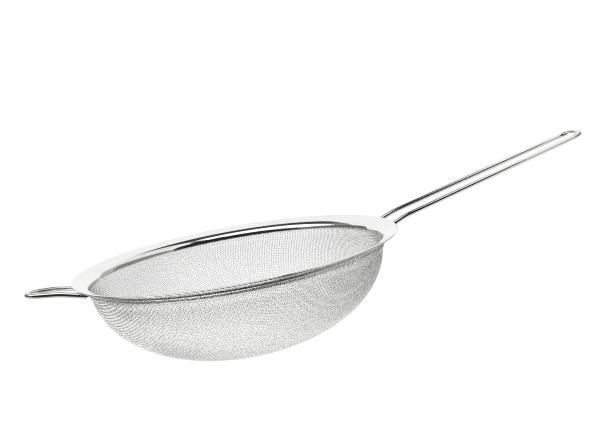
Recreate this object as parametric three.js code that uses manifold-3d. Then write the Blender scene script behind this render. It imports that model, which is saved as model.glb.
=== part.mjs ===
// A long-handled kitchen strainer in stainless steel: a woven wire bowl hung from a dished sheet
// rim, with a two-wire handle on one side and a shorter wire rest on the other.
// Millimetres. The origin is the lowest point of the bowl, +Z is up and +X points to the handle.
import * as THREE from "three";
import { mergeVertices } from "three/addons/utils/BufferGeometryUtils.js";
import Module from "manifold-3d";

const degree = Math.PI / 180;

// Rim: one ring of sheet, with a turned lip, a dished flange, a rounded corner and a collar.
const rimDiameter = 230;
const rimHeight = 71;
const sheet = 0.6;
const lipRadius = 1;
const lipTurn = 100 * degree;
const flangeWidth = 12;
const flangeTilt = 18 * degree;
const cornerRadius = 6.2;
const collarStraight = 0.1;
const collarLean = 3 * degree;
const roundSegments = 72;
const cornerSteps = 5;
const lipSteps = 3;

// Bowl: woven wire, drawn here with a wide pitch and thick wires.
const meshPitch = 12.5;
const meshWireWidth = 1.6;
const meshThickness = 1.3;
const meshTurn = 52.5 * degree;
const bowlSideExponent = 2.202;
const bowlDepthExponent = 1.857;
const hemHeight = 1.9;
const hemLap = 0.3;
const baseFlat = 0.4;

// Hoop that holds the edge of the wire cloth against the collar.
const hoopThickness = 0.7;
const hoopHeight = 1.4;

// Bent wires: the handle and the rest opposite.
const wireDiameter = 3.5;
const wireQuarterSides = 5;
const wireStep = 3.8;
const handleReach = 164;
const handleRootHalfGap = 13.7;
const handleEndHalfGap = 10.5;
const handleRootSlope = 20.9 * degree;
const handleArmSlope = 11.7 * degree;
const handleBendReach = 11;
const restReach = 32.5;
const restRootHalfGap = 17;
const restEndHalfGap = 9.4;
const restRootSlope = 13.8 * degree;
const restArmSlope = 6.2 * degree;
const restBendReach = 12;
const bendRound = 4;
const quarterCirclePull = 0.5523;

// Weld beads between the wire ends and the hoop.
const weldThickness = 1.4;
const weldRadius = 1.5;
const weldSides = 12;
const weldRings = 6;

// Air left between pieces that touch.
const clearance = 0.3;

const wasm = await Module();
wasm.setup();
const mergeDistance = 1e-4;

// A closed geometry as a solid that can be joined and cut.
function solidOf(geometry) {
  const bare = new THREE.BufferGeometry();
  bare.setAttribute("position", geometry.getAttribute("position"));
  bare.setIndex(geometry.getIndex());
  const merged = mergeVertices(bare, mergeDistance);
  return new wasm.Manifold(
    new wasm.Mesh({
      numProp: 3,
      vertProperties: merged.getAttribute("position").array,
      triVerts: new Uint32Array(merged.getIndex().array),
    }),
  );
}

// A joined or cut solid as a geometry again.
function geometryOf(solid) {
  const mesh = solid.getMesh();
  const geometry = new THREE.BufferGeometry();
  const position = new THREE.BufferAttribute(new Float32Array(mesh.vertProperties), mesh.numProp);
  geometry.setAttribute("position", position);
  geometry.setIndex(new THREE.BufferAttribute(new Uint32Array(mesh.triVerts), 1));
  geometry.computeVertexNormals();
  return geometry;
}

// A ring turned from a closed profile of radius and height points.
function turned(profile) {
  const points = profile.map(([radius, height]) => new THREE.Vector2(radius, height));
  points.push(points[0].clone());
  return new THREE.LatheGeometry(points, roundSegments).rotateX(Math.PI / 2);
}

// Points of an arc in the radius and height plane, angles measured from the outward direction.
function arc([centreRadius, centreHeight], radius, from, to, steps) {
  const points = [];
  for (let i = 0; i <= steps; i += 1) {
    const angle = from + ((to - from) * i) / steps;
    points.push([
      centreRadius + radius * Math.cos(angle),
      centreHeight + radius * Math.sin(angle),
    ]);
  }
  return points;
}

// Rim section. The collar leans in as it goes down, so its foot has the smallest radius.
const rimRadius = rimDiameter / 2;
const collarFoot = rimRadius - flangeWidth;
const collarHead = collarFoot + collarStraight * Math.sin(collarLean);
const flangeAngle = Math.PI / 2 + flangeTilt;
const collarAngle = Math.PI - collarLean;
const lipCentre = [rimRadius - lipRadius, rimHeight - lipRadius];
const lipStart = [
  lipCentre[0] + lipRadius * Math.cos(flangeAngle),
  lipCentre[1] + lipRadius * Math.sin(flangeAngle),
];
const cornerCentreRadius = collarHead - cornerRadius * Math.cos(collarAngle);
const cornerTopRadius = cornerCentreRadius + cornerRadius * Math.cos(flangeAngle);
const cornerTopHeight = lipStart[1] - (lipStart[0] - cornerTopRadius) * Math.tan(flangeTilt);
const cornerCentre = [
  cornerCentreRadius,
  cornerTopHeight - cornerRadius * Math.sin(flangeAngle),
];
const collarHeadHeight = cornerCentre[1] + cornerRadius * Math.sin(collarAngle);
const collarFootHeight = collarHeadHeight - collarStraight * Math.cos(collarLean);
const innerLip = lipRadius - sheet;
const innerCorner = cornerRadius - sheet;
const rimProfile = [
  [collarFoot + sheet, collarFootHeight],
  ...arc(cornerCentre, innerCorner, collarAngle, flangeAngle, cornerSteps - 1),
  ...arc(lipCentre, innerLip, flangeAngle, flangeAngle - lipTurn, lipSteps - 1),
  ...arc(lipCentre, lipRadius, flangeAngle - lipTurn, flangeAngle, lipSteps),
  ...arc(cornerCentre, cornerRadius, flangeAngle, collarAngle, cornerSteps),
  [collarFoot, collarFootHeight],
];
const rimGeometry = turned(rimProfile);

// Height of the rim's underside at a radius between the collar and the lip.
function underside(radius) {
  const across = Math.min(cornerCentre[0] - radius, innerCorner);
  if (across > innerCorner * Math.sin(flangeTilt)) {
    return cornerCentre[1] + Math.sqrt(innerCorner ** 2 - across ** 2);
  }
  const drop = (lipStart[0] - radius) * Math.tan(flangeTilt);
  return lipStart[1] - drop - sheet / Math.cos(flangeTilt);
}

// Bowl surface, as points along a meridian at equal steps of the turning parameter.
const collarBack = collarHead + sheet;
const bowlRadius = collarBack + clearance + meshThickness / 2;
const bowlEdge = underside(bowlRadius - meshThickness / 2) - clearance;
const bowlBottom = meshThickness / 2 - baseFlat;
const meridianSteps = 600;
const meridian = [];
for (let i = 0; i <= meridianSteps; i += 1) {
  const angle = ((Math.PI / 2) * i) / meridianSteps;
  const radius = bowlRadius * Math.sin(angle) ** (2 / bowlSideExponent);
  const share = Math.max(Math.cos(angle), 0) ** (2 / bowlDepthExponent);
  const height = bowlEdge - share * (bowlEdge - bowlBottom);
  const last = meridian[i - 1];
  const length = last ? last.length + Math.hypot(radius - last.radius, height - last.height) : 0;
  meridian.push({ radius, height, length });
}
const edgeLength = meridian[meridianSteps].length;

// A point of the bowl from its distance along the meridian and its turn about the axis. Beyond
// the edge the surface goes on straight up.
function bowlPoint(length, turn) {
  let radius = bowlRadius;
  let height = bowlEdge + length - edgeLength;
  if (length < edgeLength) {
    let low = 0;
    let high = meridianSteps;
    while (high - low > 1) {
      const middle = (low + high) >> 1;
      if (meridian[middle].length > length) {
        high = middle;
      } else {
        low = middle;
      }
    }
    const a = meridian[low];
    const b = meridian[high];
    const share = (length - a.length) / (b.length - a.length);
    radius = a.radius + share * (b.radius - a.radius);
    height = a.height + share * (b.height - a.height);
  }
  return new THREE.Vector3(radius * Math.cos(turn), radius * Math.sin(turn), height);
}

const solverRounds = 30;

// The next crossing on a meridian, one pitch from the last.
function alongMeridian(last) {
  let length = last.length + meshPitch;
  for (let i = 0; i < solverRounds; i += 1) {
    length += meshPitch - bowlPoint(length, last.turn).distanceTo(last.point);
  }
  return { length, turn: last.turn, point: bowlPoint(length, last.turn) };
}

// The crossing one pitch from two neighbours, found by stepping to where both distances agree.
function nextCrossing(a, b, behind) {
  const guess = a.point.clone().add(b.point).sub(behind.point);
  let length = a.length + b.length - behind.length;
  let turn = Math.atan2(guess.y, guess.x);
  const nudge = 1e-4;
  for (let i = 0; i < solverRounds; i += 1) {
    const here = bowlPoint(length, turn);
    const further = bowlPoint(length + nudge, turn);
    const aside = bowlPoint(length, turn + nudge);
    const offA = here.distanceTo(a.point) - meshPitch;
    const offB = here.distanceTo(b.point) - meshPitch;
    const aLength = (further.distanceTo(a.point) - meshPitch - offA) / nudge;
    const aTurn = (aside.distanceTo(a.point) - meshPitch - offA) / nudge;
    const bLength = (further.distanceTo(b.point) - meshPitch - offB) / nudge;
    const bTurn = (aside.distanceTo(b.point) - meshPitch - offB) / nudge;
    const cross = aLength * bTurn - aTurn * bLength;
    length -= (offA * bTurn - offB * aTurn) / cross;
    turn -= (offB * aLength - offA * bLength) / cross;
  }
  return { length, turn, point: bowlPoint(length, turn) };
}

// One quarter of the cloth: two wires cross at the bottom, and each further crossing lies one
// pitch from its neighbours, the way wire cloth shears when it is pressed into a bowl.
const reach = edgeLength + 2 * meshPitch;
const quarter = [[{ length: 0, turn: 0, point: bowlPoint(0, 0) }]];
function quarterCrossing(i, j) {
  return quarter[i] && quarter[i][j];
}
for (let i = 0; i === 0 || quarterCrossing(i, 0); i += 1) {
  for (let j = 0; j === 0 || quarterCrossing(i, j); j += 1) {
    const here = quarterCrossing(i, j);
    if (j === 0 && here.length < reach) {
      const start = i === 0 ? { ...here, turn: meshTurn } : here;
      quarter[i + 1] = [alongMeridian(start)];
    }
    if (i === 0 && here.length < reach) {
      const start = j === 0 ? { ...here, turn: meshTurn + Math.PI / 2 } : here;
      quarter[0][j + 1] = alongMeridian(start);
    }
    if (i > 0) {
      const a = quarterCrossing(i, j);
      const b = quarterCrossing(i - 1, j + 1);
      if (a && b && Math.min(a.length, b.length) < reach) {
        quarter[i][j + 1] = nextCrossing(a, b, quarterCrossing(i - 1, j));
      }
    }
  }
}

// The other three quarters are the first one turned.
const upright = new THREE.Vector3(0, 0, 1);
function crossing(i, j) {
  let [a, b, turns] = [i, j, 0];
  while (a < 0 || b < 0) {
    [a, b] = [b, -a];
    turns += 1;
  }
  const found = quarterCrossing(a, b);
  if (!found) {
    return null;
  }
  const point = found.point.clone().applyAxisAngle(upright, (turns * Math.PI) / 2);
  return { length: found.length, point };
}

// Outward direction of the bowl at a crossing.
function outward({ length, point }) {
  const step = meshPitch / 100;
  const above = bowlPoint(length + step, 0);
  const below = bowlPoint(Math.max(length - step, 0), 0);
  const slope = above.sub(below).normalize();
  const turn = Math.atan2(point.y, point.x);
  return new THREE.Vector3(slope.z * Math.cos(turn), slope.z * Math.sin(turn), -slope.x);
}

// The cloth as one closed skin. Each wire is a ridge outside and a ridge inside, and each gap is
// a ring of four corners set half a wire's width from the crossings.
function clothGeometry() {
  const corners = [];
  const ridge = meshThickness / 2;
  const gaps = new Map();
  const span = quarter.length;
  for (let i = -span; i < span; i += 1) {
    for (let j = -span; j < span; j += 1) {
      const ring = [crossing(i, j), crossing(i + 1, j), crossing(i + 1, j + 1), crossing(i, j + 1)];
      if (ring.every(Boolean) && ring.some(({ length }) => length < edgeLength)) {
        gaps.set(`${i},${j}`, { i, j, ring });
      }
    }
  }
  const face = (...points) => {
    for (let k = 1; k + 1 < points.length; k += 1) {
      corners.push(...points[0].toArray(), ...points[k].toArray(), ...points[k + 1].toArray());
    }
  };
  const beyond = [
    [0, -1],
    [1, 0],
    [0, 1],
    [-1, 0],
  ];
  for (const { i, j, ring } of gaps.values()) {
    const inside = ring.map((node) => node.point.clone().addScaledVector(outward(node), -ridge));
    const outside = ring.map((node) => node.point.clone().addScaledVector(outward(node), ridge));
    const hole = ring.map((node, k) => {
      const ahead = ring[(k + 1) % 4].point.clone().sub(node.point).normalize();
      const back = ring[(k + 3) % 4].point.clone().sub(node.point).normalize();
      const spread = Math.sin(ahead.angleTo(back));
      const offset = ahead.add(back).multiplyScalar(meshWireWidth / 2 / spread);
      return node.point.clone().add(offset);
    });
    for (let k = 0; k < 4; k += 1) {
      const next = (k + 1) % 4;
      face(inside[k], inside[next], hole[next], hole[k]);
      face(outside[k], hole[k], hole[next], outside[next]);
      if (!gaps.has(`${i + beyond[k][0]},${j + beyond[k][1]}`)) {
        face(outside[k], outside[next], inside[next], inside[k]);
      }
    }
  }
  const geometry = new THREE.BufferGeometry();
  geometry.setAttribute("position", new THREE.Float32BufferAttribute(corners, 3));
  return mergeVertices(geometry, mergeDistance);
}

// The cloth is trimmed level at its edge, closed there by a hem, and pressed flat at the bottom.
const meshInner = bowlRadius - meshThickness / 2;
const meshOuter = bowlRadius + meshThickness / 2;
const hemProfile = [
  [meshInner, bowlEdge - hemHeight],
  [meshOuter, bowlEdge - hemHeight],
  [meshOuter, bowlEdge],
  [meshInner, bowlEdge],
];
const meshGeometry = geometryOf(
  solidOf(clothGeometry())
    .trimByPlane([0, 0, -1], hemHeight - hemLap - bowlEdge)
    .trimByPlane([0, 0, 1], 0)
    .add(solidOf(turned(hemProfile))),
);

// The hoop sits round the hem, close under the rim's corner.
const hoopInner = meshOuter + clearance;
const hoopOuter = hoopInner + hoopThickness;
const hoopTop = underside(hoopInner) - clearance;
const hoopGeometry = turned([
  [hoopInner, hoopTop - hoopHeight],
  [hoopOuter, hoopTop - hoopHeight],
  [hoopOuter, hoopTop],
  [hoopInner, hoopTop],
]);

// One bent wire: two legs that start at the hoop, pass under the lip, bend to a flatter slope and
// meet in a round end. Drawn towards +X. Returns the wire, and the middle and direction of each weld.
const wireRadius = wireDiameter / 2;
const lipFoot = lipCentre[1] + lipRadius * Math.sin(flangeAngle - lipTurn);
function bentWire({ reach: length, rootHalfGap, endHalfGap, rootSlope, armSlope, bendReach }) {
  const startRadius =
    hoopOuter + weldThickness + 2 * clearance + wireRadius * Math.sin(rootSlope);
  const lipX = Math.sqrt(rimRadius ** 2 - rootHalfGap ** 2);
  const lipZ = lipFoot - clearance - wireRadius / Math.cos(rootSlope);
  const startX = Math.sqrt(startRadius ** 2 - rootHalfGap ** 2);
  const bendX = lipX + bendReach;
  const armX = rimRadius + length - endHalfGap * Math.cos(armSlope) - wireRadius;
  const bendZ = lipZ + bendReach * Math.tan(rootSlope);
  const armZ = bendZ + (armX - bendX) * Math.tan(armSlope);
  const halfGap = (x) => {
    const share = (x - startX) / (armX - startX);
    return rootHalfGap + share * (endHalfGap - rootHalfGap);
  };
  const onRoot = (x) => [x, halfGap(x), lipZ + (x - lipX) * Math.tan(rootSlope)];
  const onArm = (x) => [x, halfGap(x), bendZ + (x - bendX) * Math.tan(armSlope)];
  const tip = [
    armX + endHalfGap * Math.cos(armSlope),
    0,
    armZ + endHalfGap * Math.sin(armSlope),
  ];
  const quarterPull = quarterCirclePull * endHalfGap;
  const side = (sign) => {
    const at = ([x, y, z]) => new THREE.Vector3(x, sign * y, z);
    const [pullX, pullZ] = [quarterPull * Math.cos(armSlope), quarterPull * Math.sin(armSlope)];
    return [
      new THREE.LineCurve3(at(onRoot(startX)), at(onRoot(bendX - bendRound))),
      new THREE.QuadraticBezierCurve3(
        at(onRoot(bendX - bendRound)),
        at(onRoot(bendX)),
        at(onArm(bendX + bendRound)),
      ),
      new THREE.LineCurve3(at(onArm(bendX + bendRound)), at(onArm(armX))),
      new THREE.CubicBezierCurve3(
        at(onArm(armX)),
        at([armX + pullX, endHalfGap, armZ + pullZ]),
        at([tip[0], quarterPull, tip[2]]),
        at(tip),
      ),
    ];
  };
  const backwards = (curve) => {
    const ends = [curve.v3, curve.v2, curve.v1, curve.v0].filter(Boolean);
    return new curve.constructor(...ends);
  };
  const path = new THREE.CurvePath();
  side(1).forEach((curve) => path.add(curve));
  side(-1)
    .reverse()
    .forEach((curve) => path.add(backwards(curve)));
  const section = new THREE.Shape().absarc(0, 0, wireRadius, 0, 2 * Math.PI);
  const geometry = new THREE.ExtrudeGeometry(section, {
    steps: Math.round(path.getLength() / wireStep),
    curveSegments: wireQuarterSides,
    extrudePath: path,
    bevelEnabled: false,
  });
  const weldMiddle = hoopOuter + clearance + weldThickness / 2;
  const weldX = Math.sqrt(weldMiddle ** 2 - rootHalfGap ** 2);
  const welds = [1, -1].map((sign) => ({
    middle: new THREE.Vector3(weldX, sign * rootHalfGap, hoopTop - hoopHeight / 2),
    outwards: new THREE.Vector3(weldX, sign * rootHalfGap, 0).normalize(),
  }));
  return { geometry, welds };
}

// A weld bead: a flat round drop between a wire's end and the hoop.
function weldGeometry({ middle, outwards }) {
  const bead = new THREE.SphereGeometry(1, weldSides, weldRings).rotateX(Math.PI / 2);
  bead.scale(weldRadius, weldRadius, weldThickness / 2);
  const facing = new THREE.Quaternion().setFromUnitVectors(upright, outwards);
  return bead.applyQuaternion(facing).translate(middle.x, middle.y, middle.z);
}

const handle = bentWire({
  reach: handleReach,
  rootHalfGap: handleRootHalfGap,
  endHalfGap: handleEndHalfGap,
  rootSlope: handleRootSlope,
  armSlope: handleArmSlope,
  bendReach: handleBendReach,
});
const rest = bentWire({
  reach: restReach,
  rootHalfGap: restRootHalfGap,
  endHalfGap: restEndHalfGap,
  rootSlope: restRootSlope,
  armSlope: restArmSlope,
  bendReach: restBendReach,
});

// Every piece is stainless steel. Sheet and wire are polished, the cloth is drawn wire as woven,
// and the welds are left dull.
const polished = { color: 0xd4d4d2, roughness: 0.16, metalness: 1 };
const drawn = { color: 0xc6c6c4, roughness: 0.3, metalness: 1 };
const welded = { color: 0xa09e9a, roughness: 0.5, metalness: 1 };

const strainer = new THREE.Group();
function addPiece(name, geometry, finish) {
  const piece = new THREE.Mesh(geometry, new THREE.MeshStandardMaterial(finish));
  piece.name = name;
  strainer.add(piece);
}

addPiece("rim_ring", rimGeometry, polished);
addPiece("mesh_bowl", meshGeometry, drawn);
addPiece("clamp_hoop", hoopGeometry, polished);
addPiece("handle_wire", handle.geometry, polished);
addPiece("rest_wire", rest.geometry.rotateZ(Math.PI), polished);
addPiece("handle_weld_left", weldGeometry(handle.welds[0]), welded);
addPiece("handle_weld_right", weldGeometry(handle.welds[1]), welded);
addPiece("rest_weld_left", weldGeometry(rest.welds[1]).rotateZ(Math.PI), welded);
addPiece("rest_weld_right", weldGeometry(rest.welds[0]).rotateZ(Math.PI), welded);

export default strainer;
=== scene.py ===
# A long-handled strainer of stainless steel wire cloth, dressed over its solids.
# Metres. The origin is the lowest point of the bowl, +Z is up and +X points to the handle.
import math
import bpy
import numpy as np
from mathutils import Matrix, Vector


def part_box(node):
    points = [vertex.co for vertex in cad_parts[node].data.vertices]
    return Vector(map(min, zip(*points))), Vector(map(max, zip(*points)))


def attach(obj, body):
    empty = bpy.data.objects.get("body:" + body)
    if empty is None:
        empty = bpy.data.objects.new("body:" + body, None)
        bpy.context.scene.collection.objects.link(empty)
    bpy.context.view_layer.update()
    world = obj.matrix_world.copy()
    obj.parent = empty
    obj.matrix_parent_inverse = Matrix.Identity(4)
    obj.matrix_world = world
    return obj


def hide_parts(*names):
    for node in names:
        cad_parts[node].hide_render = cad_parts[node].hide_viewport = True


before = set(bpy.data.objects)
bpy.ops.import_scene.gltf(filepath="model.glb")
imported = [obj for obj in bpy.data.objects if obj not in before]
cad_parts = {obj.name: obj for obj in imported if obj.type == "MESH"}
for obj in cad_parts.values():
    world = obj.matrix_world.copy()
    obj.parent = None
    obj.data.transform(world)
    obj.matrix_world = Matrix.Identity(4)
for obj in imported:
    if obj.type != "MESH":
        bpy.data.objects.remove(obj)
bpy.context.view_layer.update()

# Rim ring. One ring of stainless sheet, spun to a dished flange: the outer edge is curled into a
# small lip, and the inner edge turns down over a full rounding into a short collar that the cloth
# hangs from. The faces are polished on the lathe, so the finest marks run round the ring.
millimetre = 0.001
rim_radius = 115 * millimetre
rim_height = 71 * millimetre
sheet = 0.6 * millimetre
lip_radius = 1 * millimetre
lip_turn = math.radians(100)
flange_width = 12 * millimetre
flange_tilt = math.radians(18)
throat_radius = 6.2 * millimetre
collar_straight = 0.1 * millimetre
collar_lean = math.radians(3)
rim_segments = 360
lip_steps = 16
flange_steps = 10
throat_steps = 28
edge_steps = 6
polish_line_scale = 9000
polish_line_detail = 3
polish_line_depth = 0.0006 * millimetre
smear_scale = 60
smear_detail = 4
smear_dark = (0.84, 0.84, 0.835)
smear_light = (0.88, 0.88, 0.875)
sheet_sharp = 0.05
sheet_dull = 0.12
grain_low = 0.3
grain_high = 0.7


def arc(centre, radius, start, end, steps):
    angles = np.linspace(start, end, steps + 1)
    return [(centre[0] + radius * math.cos(a), centre[1] + radius * math.sin(a)) for a in angles]


def straight(start, end, steps):
    shares = np.linspace(0, 1, steps + 1)[1:-1]
    return [tuple(np.add(start, share * np.subtract(end, start))) for share in shares]


def smooth_mesh(name, points, faces):
    mesh = bpy.data.meshes.new(name)
    mesh.from_pydata(points, [], faces)
    mesh.shade_smooth()
    piece = bpy.data.objects.new(name, mesh)
    bpy.context.scene.collection.objects.link(piece)
    return piece


def spun_ring(name, section, segments):
    points = []
    faces = []
    count = len(section)
    for i in range(segments):
        turn = 2 * math.pi * i / segments
        onward = (i + 1) % segments
        for k, (radius, height) in enumerate(section):
            points.append((radius * math.cos(turn), radius * math.sin(turn), height))
            above = (k + 1) % count
            faces.append((i * count + k, onward * count + k, onward * count + above, i * count + above))
    return smooth_mesh(name, points, faces)


collar_foot = rim_radius - flange_width
collar_head = collar_foot + collar_straight * math.sin(collar_lean)
flange_angle = math.pi / 2 + flange_tilt
collar_angle = math.pi - collar_lean
lip_centre = (rim_radius - lip_radius, rim_height - lip_radius)
lip_end_angle = flange_angle - lip_turn
flange_top = (
    lip_centre[0] + lip_radius * math.cos(flange_angle),
    lip_centre[1] + lip_radius * math.sin(flange_angle),
)
throat_centre_radius = collar_head - throat_radius * math.cos(collar_angle)
flange_foot_radius = throat_centre_radius + throat_radius * math.cos(flange_angle)
flange_foot = (
    flange_foot_radius,
    flange_top[1] - (flange_top[0] - flange_foot_radius) * math.tan(flange_tilt),
)
throat_centre = (throat_centre_radius, flange_foot[1] - throat_radius * math.sin(flange_angle))
collar_head_height = throat_centre[1] + throat_radius * math.sin(collar_angle)
collar_foot_height = collar_head_height - collar_straight * math.cos(collar_lean)
half_sheet = sheet / 2
lip_edge = (
    lip_centre[0] + (lip_radius - half_sheet) * math.cos(lip_end_angle),
    lip_centre[1] + (lip_radius - half_sheet) * math.sin(lip_end_angle),
)
collar_edge = (collar_foot + half_sheet, collar_foot_height)
upper_face = (
    arc(lip_centre, lip_radius, lip_end_angle, flange_angle, lip_steps)
    + straight(flange_top, flange_foot, flange_steps)
    + arc(throat_centre, throat_radius, flange_angle, collar_angle, throat_steps)
)
lower_face = (
    arc(throat_centre, throat_radius - sheet, collar_angle, flange_angle, throat_steps)
    + arc(lip_centre, lip_radius - sheet, flange_angle, lip_end_angle, lip_steps)
)
rim_section = (
    upper_face
    + arc(collar_edge, half_sheet, math.pi, 2 * math.pi, edge_steps)
    + lower_face
    + arc(lip_edge, half_sheet, lip_end_angle + math.pi, lip_end_angle + 2 * math.pi, edge_steps)[1:-1]
)
rim = spun_ring("rim_ring_polished", rim_section, rim_segments)


def shader_sockets(material):
    return material.node_tree.nodes["Principled BSDF"].inputs


def steel(name):
    material = bpy.data.materials.new(name)
    material.use_nodes = True
    shader_sockets(material)["Metallic"].default_value = 1
    return material


def add_node(material, kind, **settings):
    node = material.node_tree.nodes.new(kind)
    for key, value in settings.items():
        setattr(node, key, value)
    return node


def join(material, start, end):
    material.node_tree.links.new(start, end)


def place_on(material):
    return add_node(material, "ShaderNodeTexCoord").outputs["Object"]


def grain(material, place, scale, detail, **settings):
    noise = add_node(material, "ShaderNodeTexNoise", **settings)
    noise.inputs["Scale"].default_value = scale
    noise.inputs["Detail"].default_value = detail
    join(material, place, noise.inputs["Vector"])
    return noise.outputs["Fac"]


# A viewer that leaves the grain out shows the middle sheen and the middle tint.
def sheen_between(material, marks, sharp, dull):
    spread = add_node(material, "ShaderNodeMapRange")
    spread.inputs["From Min"].default_value = grain_low
    spread.inputs["From Max"].default_value = grain_high
    spread.inputs["To Min"].default_value = sharp
    spread.inputs["To Max"].default_value = dull
    roughness = shader_sockets(material)["Roughness"]
    roughness.default_value = (sharp + dull) / 2
    join(material, marks, spread.inputs["Value"])
    join(material, spread.outputs["Result"], roughness)


def tint_between(material, marks, dark, light):
    ramp = add_node(material, "ShaderNodeValToRGB")
    ramp.color_ramp.elements[0].position = grain_low
    ramp.color_ramp.elements[0].color = (*dark, 1)
    ramp.color_ramp.elements[1].position = grain_high
    ramp.color_ramp.elements[1].color = (*light, 1)
    colour = shader_sockets(material)["Base Color"]
    colour.default_value = (*np.add(dark, light) / 2, 1)
    join(material, marks, ramp.inputs["Fac"])
    join(material, ramp.outputs["Color"], colour)


def raise_grain(material, marks, depth):
    bump = add_node(material, "ShaderNodeBump")
    bump.inputs["Strength"].default_value = 1
    bump.inputs["Distance"].default_value = depth
    join(material, marks, bump.inputs["Height"])
    join(material, bump.outputs["Normal"], shader_sockets(material)["Normal"])


def lathe_polish(name, sharp, dull):
    material = steel(name)
    place = place_on(material)
    parts = add_node(material, "ShaderNodeSeparateXYZ")
    flat = add_node(material, "ShaderNodeCombineXYZ")
    radius = add_node(material, "ShaderNodeVectorMath", operation="LENGTH")
    section = add_node(material, "ShaderNodeCombineXYZ")
    join(material, place, parts.inputs["Vector"])
    join(material, parts.outputs["X"], flat.inputs["X"])
    join(material, parts.outputs["Y"], flat.inputs["Y"])
    join(material, flat.outputs["Vector"], radius.inputs[0])
    join(material, radius.outputs["Value"], section.inputs["X"])
    join(material, parts.outputs["Z"], section.inputs["Y"])
    around = section.outputs["Vector"]
    lines = grain(material, around, polish_line_scale, polish_line_detail, noise_dimensions="2D")
    smears = grain(material, place, smear_scale, smear_detail)
    sheen_between(material, lines, sharp, dull)
    tint_between(material, smears, smear_dark, smear_light)
    raise_grain(material, lines, polish_line_depth)
    return material


rim.data.materials.append(lathe_polish("polished_sheet", sheet_sharp, sheet_dull))
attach(rim, "root")
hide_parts("rim_ring")

# Woven bowl. Plain-woven cloth of fine round stainless wire, pressed from the flat into a bowl, so
# that its square holes shear into diamonds up the wall. Each wire goes over one neighbour and under
# the next. Near its cut edge the cloth swells to pass outside the collar, and is squeezed there.
cloth_pitch = 1.39 * millimetre
cloth_wire = 0.3 * millimetre
cloth_turn = math.radians(52.5)
cloth_sides = 6
cloth_radius = 102.97 * millimetre
cloth_edge = 64.5 * millimetre
cloth_bottom = 0.3 * millimetre
cloth_tuck = 1.2 * millimetre
cloth_swell = 1.58 * millimetre
swell_foot = 57.4 * millimetre
swell_head = 62.9 * millimetre
side_exponent = 2.074
depth_exponent = 2.09
meridian_points = 4001
slope_step = cloth_pitch / 10
quarter_allowance = 1.3
fitting_rounds = 12
fitting_nudge = 1e-4 * cloth_pitch
families = "ab"
bundles = 4
patch_scale = 240
patch_detail = 3
patch_dark = (0.86, 0.86, 0.85)
patch_light = (0.92, 0.92, 0.91)
cloth_sharp = 0.2
cloth_dull = 0.32

meridian_turn = np.linspace(0, math.pi / 2, meridian_points)
meridian_share = np.cos(meridian_turn).clip(0) ** (2 / depth_exponent)
meridian_height = cloth_edge - meridian_share * (cloth_edge - cloth_bottom)
swell_share = ((meridian_height - swell_foot) / (swell_head - swell_foot)).clip(0, 1)
meridian_radius = cloth_radius * np.sin(meridian_turn) ** (2 / side_exponent)
meridian_radius += cloth_swell * swell_share**2 * (3 - 2 * swell_share)
meridian_steps = np.hypot(np.diff(meridian_radius), np.diff(meridian_height))
meridian_length = np.concatenate([[0], np.cumsum(meridian_steps)])
edge_length = meridian_length[-1]
cut_length = edge_length + cloth_tuck
strip_length = 2.1 * cut_length
strip_margin = 0.1
cut_face_length = 0.003
cut_face_height = 0.3
first_cut_face = 0.01
last_cut_face = 0.02


# A point of the cloth, from its distance along the bowl's profile and its turn about the axis.
def on_bowl(length, turn):
    radius = np.interp(length, meridian_length, meridian_radius)
    height = np.interp(length, meridian_length, meridian_height) + np.maximum(length - edge_length, 0)
    return np.stack([radius * np.cos(turn), radius * np.sin(turn), height], -1)


def out_of_bowl(length, turn):
    above = on_bowl(length + slope_step, 0 * turn)
    below = on_bowl(np.maximum(length - slope_step, 0), 0 * turn)
    rise = above - below
    rise /= np.linalg.norm(rise, axis=-1, keepdims=True)
    return np.stack([rise[..., 2] * np.cos(turn), rise[..., 2] * np.sin(turn), -rise[..., 0]], -1)


# The crossings of one quarter. Two wires run straight through the bottom of the bowl, and every
# crossing between them lies one pitch from each of the two before it.
def weave_quarter():
    reach = edge_length + 2 * cloth_pitch
    count = int(quarter_allowance * reach / cloth_pitch)
    length = np.full((count, count), np.nan)
    turn = np.full((count, count), np.nan)
    along = cloth_pitch * np.arange(count)
    length[:, 0] = along
    length[0, :] = along
    turn[:, 0] = cloth_turn
    turn[0, :] = cloth_turn + math.pi / 2
    for diagonal in range(2, 2 * count):
        i = np.arange(max(1, diagonal - count + 1), min(diagonal, count))
        j = diagonal - i
        behind = np.minimum(length[i - 1, j], length[i, j - 1])
        i, j = i[behind < reach], j[behind < reach]
        if len(i) == 0:
            continue
        one = on_bowl(length[i - 1, j], turn[i - 1, j])
        two = on_bowl(length[i, j - 1], turn[i, j - 1])
        guess = one + two - on_bowl(length[i - 1, j - 1], turn[i - 1, j - 1])
        here_length = length[i - 1, j] + length[i, j - 1] - length[i - 1, j - 1]
        here_turn = np.arctan2(guess[:, 1], guess[:, 0])
        for _ in range(fitting_rounds):
            here = on_bowl(here_length, here_turn)
            up = on_bowl(here_length + fitting_nudge, here_turn)
            aside = on_bowl(here_length, here_turn + fitting_nudge)
            off_one = np.linalg.norm(here - one, axis=1) - cloth_pitch
            off_two = np.linalg.norm(here - two, axis=1) - cloth_pitch
            one_up = (np.linalg.norm(up - one, axis=1) - cloth_pitch - off_one) / fitting_nudge
            one_aside = (np.linalg.norm(aside - one, axis=1) - cloth_pitch - off_one) / fitting_nudge
            two_up = (np.linalg.norm(up - two, axis=1) - cloth_pitch - off_two) / fitting_nudge
            two_aside = (np.linalg.norm(aside - two, axis=1) - cloth_pitch - off_two) / fitting_nudge
            cross = one_up * two_aside - one_aside * two_up
            here_length = here_length - (off_one * two_aside - off_two * one_aside) / cross
            here_turn = here_turn - (off_two * one_up - off_one * two_up) / cross
        length[i, j] = here_length
        turn[i, j] = here_turn
    return length, turn


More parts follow.
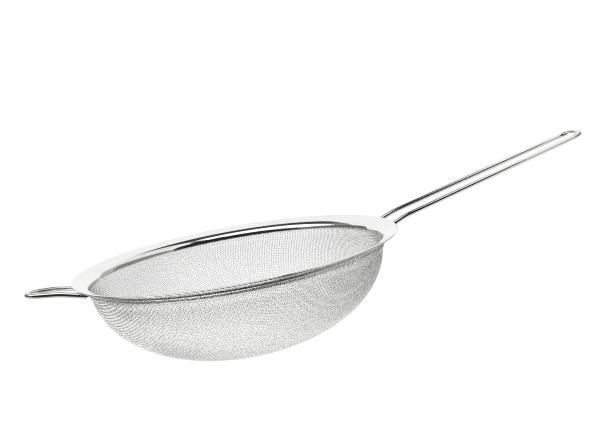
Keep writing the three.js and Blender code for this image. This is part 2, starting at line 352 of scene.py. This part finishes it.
quarter_length, quarter_turn = weave_quarter()
half_count = quarter_length.shape[0] - 1
span = 2 * half_count + 1
weave_length = np.full((span, span), np.nan)
weave_turn = np.full((span, span), np.nan)
row, column = np.meshgrid(np.arange(half_count + 1), np.arange(half_count + 1), indexing="ij")
for quarter in range(4):
    weave_length[half_count + row, half_count + column] = quarter_length
    weave_turn[half_count + row, half_count + column] = quarter_turn + quarter * math.pi / 2
    row, column = -column, row
crossing = on_bowl(weave_length, weave_turn)
outward = out_of_bowl(weave_length, weave_turn)


def tube(path, outward, radii, sides):
    heading = np.gradient(path, axis=0)
    heading /= np.linalg.norm(heading, axis=1, keepdims=True)
    side = np.cross(heading, outward)
    side /= np.linalg.norm(side, axis=1, keepdims=True)
    out = np.cross(side, heading)
    angle = 2 * math.pi * np.arange(sides) / sides
    ring = np.cos(angle)[None, :, None] * out[:, None] + np.sin(angle)[None, :, None] * side[:, None]
    points = path[:, None] + np.asarray(radii).reshape(-1, 1, 1) * ring
    first = sides * np.arange(len(path) - 1)[:, None] + np.arange(sides)[None]
    next_side = sides * np.arange(len(path) - 1)[:, None] + (np.arange(sides)[None] + 1) % sides
    quads = np.stack([first, next_side, next_side + sides, first + sides], -1)
    return points.reshape(-1, 3), quads.reshape(-1, 4)


def tube_ends(first, count, sides):
    start = list(range(first, first + sides))
    finish = list(range(first + count - sides, first + count))
    return [start[::-1], finish]


# One wire's middle line, from cut edge to cut edge, going over and under at the crossings.
def wire_path(number, family):
    run = weave_length[:, number] if family == 0 else weave_length[number, :]
    place = crossing[:, number] if family == 0 else crossing[number, :]
    out = outward[:, number] if family == 0 else outward[number, :]
    inside = np.flatnonzero(run < cut_length)
    if len(inside) < 2:
        return None
    chosen = np.arange(inside[0] - 1, inside[-1] + 2)
    lift = np.where((chosen + number + family) % 2 == 0, cloth_wire / 2, -cloth_wire / 2)
    centre = place[chosen] + lift[:, None] * out[chosen]
    path = np.empty((2 * len(chosen) - 1, 3))
    path[0::2] = centre
    path[1::2] = (centre[:-1] + centre[1:]) / 2
    outs = np.empty_like(path)
    outs[0::2] = out[chosen]
    outs[1::2] = (out[chosen][:-1] + out[chosen][1:]) / 2
    level = np.interp(np.arange(len(path)) / 2, np.arange(len(chosen)), run[chosen])
    kept = np.flatnonzero(level < cut_length)
    return path[kept], outs[kept]


# One wire's skin laid out flat, as its row in the bundle's chart, with its two cut faces behind it.
def unrolled(path, sides, row, rows):
    travel = np.cumsum(np.linalg.norm(np.diff(path, axis=0, prepend=path[:1]), axis=1))
    along = travel / strip_length
    aside = (row + np.linspace(strip_margin, 1 - strip_margin, sides + 1)) / rows
    ring, side = np.meshgrid(np.arange(len(path) - 1), np.arange(sides), indexing="ij")
    corners = [(0, 0), (0, 1), (1, 1), (1, 0)]
    skin = np.stack([np.stack([along[ring + i], aside[side + k]], -1) for i, k in corners], 2)
    angle = 2 * math.pi * np.arange(sides) / sides
    face = np.stack([cut_face_length * np.cos(angle), cut_face_height / rows * np.sin(angle)], -1)
    face += (along[-1], (row + 0.5) / rows)
    return np.concatenate([skin.reshape(-1, 2), face + (first_cut_face, 0), face + (last_cut_face, 0)])


def cloth_finish():
    material = steel("drawn_wire")
    patches = grain(material, place_on(material), patch_scale, patch_detail)
    sheen_between(material, patches, cloth_sharp, cloth_dull)
    tint_between(material, patches, patch_dark, patch_light)
    return material


drawn_wire = cloth_finish()
for family, letter in enumerate(families):
    wires = [wire_path(number, family) for number in range(span)]
    wires = [wire for wire in wires if wire is not None]
    so_far = np.cumsum([len(path) for path, outs in wires])
    bundle_of = np.minimum(bundles * so_far // so_far[-1], bundles - 1)
    for bundle in range(bundles):
        members = [wires[k] for k in np.flatnonzero(bundle_of == bundle)]
        points = []
        faces = []
        strips = []
        count = 0
        for row, (path, outs) in enumerate(members):
            ring_points, quads = tube(path, outs, cloth_wire / 2, cloth_sides)
            points.append(ring_points)
            faces.extend((quads + count).tolist() + tube_ends(count, len(ring_points), cloth_sides))
            strips.append(unrolled(path, cloth_sides, row, len(members)))
            count += len(ring_points)
        cloth = smooth_mesh(f"woven_bowl_{letter}{bundle + 1}", np.concatenate(points).tolist(), faces)
        unrolled_map = cloth.data.uv_layers.new(name="OFBake")
        unrolled_map.data.foreach_set("uv", np.concatenate(strips).ravel())
        cloth.data.materials.append(drawn_wire)
        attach(cloth, "root")
        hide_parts("mesh_bowl")

# Clamp hoop. A thin flat strip of stainless steel, closed round the cloth's edge under the flange, to
# hold the cloth against the collar. It keeps the dull face that the rolling mill left on the strip,
# shows only from low down, and carries the welds of the wire ends.
hoop_low, hoop_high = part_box("clamp_hoop")
hoop_outer = hoop_high.x
hoop_thickness = 0.7 * millimetre
hoop_edge = 0.2 * millimetre
hoop_edge_steps = 3
hoop_sharp = 0.36
hoop_dull = 0.48
hoop_inner = hoop_outer - hoop_thickness
hoop_corners = [
    (hoop_outer - hoop_edge, hoop_high.z - hoop_edge),
    (hoop_inner + hoop_edge, hoop_high.z - hoop_edge),
    (hoop_inner + hoop_edge, hoop_low.z + hoop_edge),
    (hoop_outer - hoop_edge, hoop_low.z + hoop_edge),
]
hoop_section = []
for quarter, corner in enumerate(hoop_corners):
    turn = quarter * math.pi / 2
    hoop_section += arc(corner, hoop_edge, turn, turn + math.pi / 2, hoop_edge_steps)
hoop = spun_ring("clamp_hoop_band", hoop_section, rim_segments)
hoop.data.materials.append(lathe_polish("rolled_strip", hoop_sharp, hoop_dull))
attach(hoop, "root")
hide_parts("clamp_hoop")

# Handle wire. One length of thick polished stainless wire, bent double into a long loop that a hook
# can take. Both legs dip under the lip, rise with a slight bend just outside it, and come together
# a little towards the round end.
wire_radius = 1.75 * millimetre
wire_sides = 28
clearance = 0.3 * millimetre
weld_thickness = 1.4 * millimetre
bend_round = 4 * millimetre
end_bevel_reach = 0.12
end_bevel_width = 0.88
quarter_circle_pull = 0.5523
lip_foot = lip_centre[1] + lip_radius * math.sin(lip_end_angle)
handle_reach = 164 * millimetre
handle_root_gap = 13.7 * millimetre
handle_end_gap = 10.5 * millimetre
handle_root_slope = math.radians(20.9)
handle_arm_slope = math.radians(11.7)
handle_bend_reach = 11 * millimetre
root_steps = 12
bend_steps = 12
arm_steps = 40
end_steps = 24
drawing_line_stretch = (30, 2400, 2400)
drawing_line_detail = 3
drawing_line_depth = 0.0008 * millimetre
wire_dark = (0.8, 0.8, 0.79)
wire_light = (0.84, 0.84, 0.83)
wire_sharp = 0.02
wire_dull = 0.06


def curve_points(controls, steps):
    shares = np.linspace(0, 1, steps + 1)[:, None]
    level = [np.tile(control, (steps + 1, 1)) for control in np.asarray(controls, float)]
    while len(level) > 1:
        level = [a + shares * (b - a) for a, b in zip(level, level[1:])]
    return level[0]


def bent_wire(name, reach, root_gap, end_gap, root_slope, arm_slope, bend_reach, side):
    start_radius = hoop_outer + weld_thickness + 2 * clearance + wire_radius * math.sin(root_slope)
    lip_x = math.sqrt(rim_radius**2 - root_gap**2)
    lip_z = lip_foot - clearance - wire_radius / math.cos(root_slope)
    start_x = math.sqrt(start_radius**2 - root_gap**2)
    bend_x = lip_x + bend_reach
    arm_x = rim_radius + reach - end_gap * math.cos(arm_slope) - wire_radius
    bend_z = lip_z + bend_reach * math.tan(root_slope)
    arm_z = bend_z + (arm_x - bend_x) * math.tan(arm_slope)

    def gap(x):
        return root_gap + (x - start_x) / (arm_x - start_x) * (end_gap - root_gap)

    def on_root(x):
        return (x, gap(x), lip_z + (x - lip_x) * math.tan(root_slope))

    def on_arm(x):
        return (x, gap(x), bend_z + (x - bend_x) * math.tan(arm_slope))

    bend_start = on_root(bend_x - bend_round)
    bend_end = on_arm(bend_x + bend_round)
    tip = (arm_x + end_gap * math.cos(arm_slope), 0, arm_z + end_gap * math.sin(arm_slope))
    pull = quarter_circle_pull * end_gap
    pull_x = pull * math.cos(arm_slope)
    leg = np.concatenate([
        curve_points([on_root(start_x), bend_start], root_steps)[:-1],
        curve_points([bend_start, on_root(bend_x), bend_end], bend_steps)[:-1],
        curve_points([bend_end, on_arm(arm_x)], arm_steps)[:-1],
        curve_points([on_arm(arm_x), on_arm(arm_x + pull_x), (tip[0], pull, tip[2]), tip], end_steps),
    ])
    path = np.concatenate([leg, leg[-2::-1] * (1, -1, 1)]) * (side, side, 1)
    first_bevel = path[:1] + end_bevel_reach * (path[1] - path[0])
    last_bevel = path[-1:] + end_bevel_reach * (path[-2] - path[-1])
    path = np.concatenate([path[:1], first_bevel, path[1:-1], last_bevel, path[-1:]])
    radii = np.full(len(path), wire_radius)
    radii[[0, -1]] *= end_bevel_width
    points, quads = tube(path, np.tile((0, 0, 1.0), (len(path), 1)), radii, wire_sides)
    return smooth_mesh(name, points.tolist(), quads.tolist() + tube_ends(0, len(points), wire_sides))


def wire_polish():
    material = steel("polished_wire")
    stretch = add_node(material, "ShaderNodeMapping")
    stretch.inputs["Scale"].default_value = drawing_line_stretch
    join(material, place_on(material), stretch.inputs["Vector"])
    lines = grain(material, stretch.outputs["Vector"], scale=1, detail=drawing_line_detail)
    sheen_between(material, lines, wire_sharp, wire_dull)
    tint_between(material, lines, wire_dark, wire_light)
    raise_grain(material, lines, drawing_line_depth)
    return material


polished_wire = wire_polish()
handle = bent_wire(
    "handle_wire_polished",
    handle_reach,
    handle_root_gap,
    handle_end_gap,
    handle_root_slope,
    handle_arm_slope,
    handle_bend_reach,
    side=1,
)
handle.data.materials.append(polished_wire)
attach(handle, "root")
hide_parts("handle_wire")

# Rest wire. A shorter loop of the same wire, opposite the handle and welded in the same way, so
# that the strainer can be set across a pan.
rest_reach = 32.5 * millimetre
rest_root_gap = 17 * millimetre
rest_end_gap = 9.4 * millimetre
rest_root_slope = math.radians(13.8)
rest_arm_slope = math.radians(6.2)
rest_bend_reach = 12 * millimetre
rest = bent_wire(
    "rest_wire_polished",
    rest_reach,
    rest_root_gap,
    rest_end_gap,
    rest_root_slope,
    rest_arm_slope,
    rest_bend_reach,
    side=-1,
)
rest.data.materials.append(polished_wire)
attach(rest, "root")
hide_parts("rest_wire")

# Weld beads. A drop of weld metal closes the gap between each wire end and the hoop. It is left as
# it set: rounded, rippled, and dull with a faint straw tint from the heat.
weld_radius = 1.5 * millimetre
weld_bite = 0.35 * millimetre
weld_reach = weld_thickness / 2 + weld_bite
weld_rings = 24
weld_sides = 36
ripple_height = 0.07
ripple_rows = 9
ripple_sway = 2
crust_scale = 900
crust_detail = 5
crust_depth = 0.06 * millimetre
straw_tint = (0.5, 0.46, 0.4)
grey_tint = (0.68, 0.68, 0.68)
weld_sharp = 0.3
weld_dull = 0.55


def weld_finish():
    material = steel("weld_metal")
    crust = grain(material, place_on(material), crust_scale, crust_detail)
    sheen_between(material, crust, weld_sharp, weld_dull)
    tint_between(material, crust, straw_tint, grey_tint)
    raise_grain(material, crust, crust_depth)
    return material


weld_metal = weld_finish()
upward = Vector((0, 0, 1))
for node in ("handle_weld_left", "handle_weld_right", "rest_weld_left", "rest_weld_right"):
    low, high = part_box(node)
    middle = (low + high) / 2
    outwards = Vector((middle.x, middle.y, 0)).normalized()
    facing = upward.rotation_difference(outwards)
    points = [middle + weld_reach * outwards]
    faces = []
    for i in range(1, weld_rings):
        tilt = math.pi * i / weld_rings
        for k in range(weld_sides):
            turn = 2 * math.pi * k / weld_sides
            wave = math.sin(ripple_rows * tilt + ripple_sway * math.sin(turn))
            girth = weld_radius * (1 + ripple_height * wave * math.sin(tilt)) * math.sin(tilt)
            bead = Vector((girth * math.cos(turn), girth * math.sin(turn), weld_reach * math.cos(tilt)))
            points.append(middle + facing @ bead)
    points.append(middle - weld_reach * outwards)
    inner_pole = len(points) - 1
    inner_ring = inner_pole - weld_sides
    for k in range(weld_sides):
        beside = (k + 1) % weld_sides
        faces.append((0, 1 + k, 1 + beside))
        for ring in range(1, inner_ring, weld_sides):
            below = ring + weld_sides
            faces.append((ring + k, below + k, below + beside, ring + beside))
        faces.append((inner_pole, inner_ring + beside, inner_ring + k))
    weld = smooth_mesh(f"{node}_bead", points, faces)
    weld.data.materials.append(weld_metal)
    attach(weld, "root")
    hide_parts(node)

# Camera. It stands in front and a little above the rim, rolled so that the handle rises to the
# right, with the rim's middle left of and below the middle of the picture.
picture_width = 612
picture_height = 432
focal_pixels = 1355.55
rim_pixel = (234.7, 251.97)
camera_azimuth = math.radians(-13.38)
camera_elevation = math.radians(10.14)
camera_roll = math.radians(-10.18)
camera_distance = 0.95
sensor_width = 36
view_reach = 100
towards_camera = Vector((
    math.sin(camera_azimuth) * math.cos(camera_elevation),
    -math.cos(camera_azimuth) * math.cos(camera_elevation),
    math.sin(camera_elevation),
))
level_right = (-towards_camera).cross(upward).normalized()
level_up = level_right.cross(-towards_camera)
rolled_right = math.cos(camera_roll) * level_right + math.sin(camera_roll) * level_up
rolled_up = math.cos(camera_roll) * level_up - math.sin(camera_roll) * level_right
straight_view = Matrix((rolled_right, rolled_up, towards_camera))
rim_ray = Vector((
    (rim_pixel[0] - picture_width / 2) / focal_pixels,
    (picture_height / 2 - rim_pixel[1]) / focal_pixels,
    -1,
))
swing = Vector((0, 0, -1)).rotation_difference(rim_ray)
camera_data = bpy.data.cameras.new("camera")
camera_data.sensor_fit = "HORIZONTAL"
camera_data.sensor_width = sensor_width
camera_data.lens = focal_pixels * sensor_width / picture_width
camera_data.clip_end = view_reach
camera = bpy.data.objects.new("camera", camera_data)
bpy.context.scene.collection.objects.link(camera)
turned_view = (swing.to_matrix() @ straight_view).transposed()
camera.matrix_world = Matrix.LocRotScale(
    rim_height * upward + camera_distance * towards_camera,
    turned_view.to_quaternion(),
    None,
)
bpy.context.scene.camera = camera

# Studio. White floor and white surroundings light the steel evenly. What else stands there shows only
# in the steel: a light table underneath, a dark canopy with one soft box in it, dark drapes round the
# camera, dim walls on either side, and small cards of painted shade: a dim one under the bowl for its
# shadow on the floor, and a grey and a dark one under the rest wire for the shade beneath it.
card_tint = (0.01, 0.01, 0.01, 1)
floor_reach = 30
room_left = -1.35
room_right = 1.2
room_near = -0.8
drape_foot = -0.9
drape_join = 0.5
wall_foot = -0.6
wall_join = 0.65
window_sill = 0.76
canopy_height = rim_height + 0.675
canopy_right = 0.27
canopy_left = -0.55
canopy_bend = (canopy_left, 0.5)
soft_box_height = canopy_height - 0.02
soft_box_right = 0.23
soft_box_near = -0.58
table_height = -0.3
table_near = -0.45
table_middle = 0.3
table_far = 1
table_end = 4
table_right = 0.1
table_left = -0.55
table_corner = (-0.45, table_near)
table_bend = (table_left, table_middle)
bowl_shade_height = -0.004
rest_shade_height = 0.04
rest_shade_left = -0.2
rest_shade_right = -0.105
rest_shade_join = -0.062
pixel_spread = 1.2
ahead = Vector((-math.sin(camera_azimuth), math.cos(camera_azimuth), 0))
across = Vector((math.cos(camera_azimuth), math.sin(camera_azimuth), 0))


def flat_card(name, corners, glow):
    mesh = bpy.data.meshes.new(name)
    mesh.from_pydata(corners, [], [(0, 1, 2, 3)])
    card = bpy.data.objects.new(name, mesh)
    bpy.context.scene.collection.objects.link(card)
    material = bpy.data.materials.new(name)
    material.use_nodes = True
    sockets = shader_sockets(material)
    sockets["Base Color"].default_value = card_tint
    sockets["Roughness"].default_value = 1
    sockets["Specular IOR Level"].default_value = 0
    sockets["Emission Color"].default_value = (1, 1, 1, 1)
    sockets["Emission Strength"].default_value = glow
    mesh.materials.append(material)
    return card


def oblong(left, right, low, high):
    return [(left, low), (right, low), (right, high), (left, high)]


def level_card(name, corners, height, glow):
    return flat_card(name, [across * x + ahead * y + upward * height for x, y in corners], glow)


def front_card(name, corners, depth, glow):
    return flat_card(name, [across * x + ahead * depth + upward * z for x, z in corners], glow)


def side_card(name, corners, side, glow):
    return flat_card(name, [across * side + ahead * y + upward * z for y, z in corners], glow)


floor = level_card("floor", oblong(-floor_reach, floor_reach, -floor_reach, floor_reach), height=0, glow=1)
cards = [
    level_card(
        "canopy",
        [(canopy_left, room_near), (canopy_right, room_near), (canopy_right, 0.54), canopy_bend],
        height=canopy_height,
        glow=0.05,
    ),
    level_card(
        "canopy_left",
        [(room_left, room_near), (canopy_left, room_near), canopy_bend, (room_left, 0.85)],
        height=canopy_height,
        glow=0.2,
    ),
    level_card(
        "canopy_right",
        [(canopy_right, room_near), (0.7, room_near), (0.62, -0.69), (canopy_right, -0.2)],
        height=canopy_height,
        glow=0.05,
    ),
    level_card(
        "soft_box",
        [
            (soft_box_right, soft_box_near),
            (soft_box_right, -0.1),
            (room_left, 0.28),
            (room_left, soft_box_near),
        ],
        height=soft_box_height,
        glow=1.4,
    ),
    front_card(
        "dark_cloth",
        oblong(room_left, drape_join, drape_foot, canopy_height),
        depth=room_near,
        glow=0.015,
    ),
    front_card("dark_flag", oblong(0.05, 0.54, -0.6, 0.6), depth=-0.39, glow=0.015),
    front_card("grey_cloth", oblong(drape_join, room_right, drape_foot, 0.7), depth=room_near, glow=0.5),
    side_card("left_wall", oblong(room_near, 1.5, -0.8, 0.7), side=room_left, glow=0.14),
    side_card(
        "right_wall",
        oblong(room_near, wall_join, wall_foot, window_sill),
        side=room_right,
        glow=0.25,
    ),
    side_card("right_wall_back", oblong(wall_join, 1.4, wall_foot, window_sill), side=room_right, glow=0.5),
    side_card("right_window", oblong(-0.5, 1.3, window_sill, 2.75), side=room_right, glow=0.85),
    level_card(
        "light_table",
        [table_corner, (table_right, table_near), (table_right, table_middle), table_bend],
        height=table_height,
        glow=2.2,
    ),
    level_card(
        "table_back",
        oblong(table_left, table_right, table_middle, table_far),
        height=table_height,
        glow=0.8,
    ),
    level_card(
        "table_right",
        oblong(table_right, room_right, table_near, table_far),
        height=table_height,
        glow=0.85,
    ),
    level_card(
        "table_left",
        [(room_left, table_near), table_corner, table_bend, (room_left, table_far)],
        height=table_height,
        glow=0.25,
    ),
    level_card(
        "table_end",
        oblong(room_left, room_right, table_far, table_end),
        height=table_height,
        glow=0.6,
    ),
    # Painted shadow: a dimmer card just under the bowl stands in for the bowl's own shadow on the floor.
    level_card("bowl_shade", oblong(-0.08, 0.08, -0.07, 0.07), height=bowl_shade_height, glow=1.1),
    # Painted shade: a grey card and a near-black one under the rest wire darken its underside's reflection.
    level_card(
        "rest_shade",
        oblong(rest_shade_left, rest_shade_right, rest_shade_join, 0.03),
        height=rest_shade_height,
        glow=0.6,
    ),
    level_card(
        "rest_dark_shade",
        oblong(rest_shade_left, rest_shade_right, -0.1, rest_shade_join),
        height=rest_shade_height,
        glow=0.03,
    ),
]
floor.visible_glossy = False
for card in cards:
    card.visible_camera = False
world = bpy.data.worlds.new("studio")
world.use_nodes = True
world.node_tree.nodes["Background"].inputs["Color"].default_value = (1, 1, 1, 1)
world.node_tree.nodes["Background"].inputs["Strength"].default_value = 1
bpy.context.scene.world = world
bpy.context.scene.view_settings.view_transform = "Standard"
bpy.context.scene.cycles.use_denoising = False
bpy.context.scene.cycles.filter_width = pixel_spread
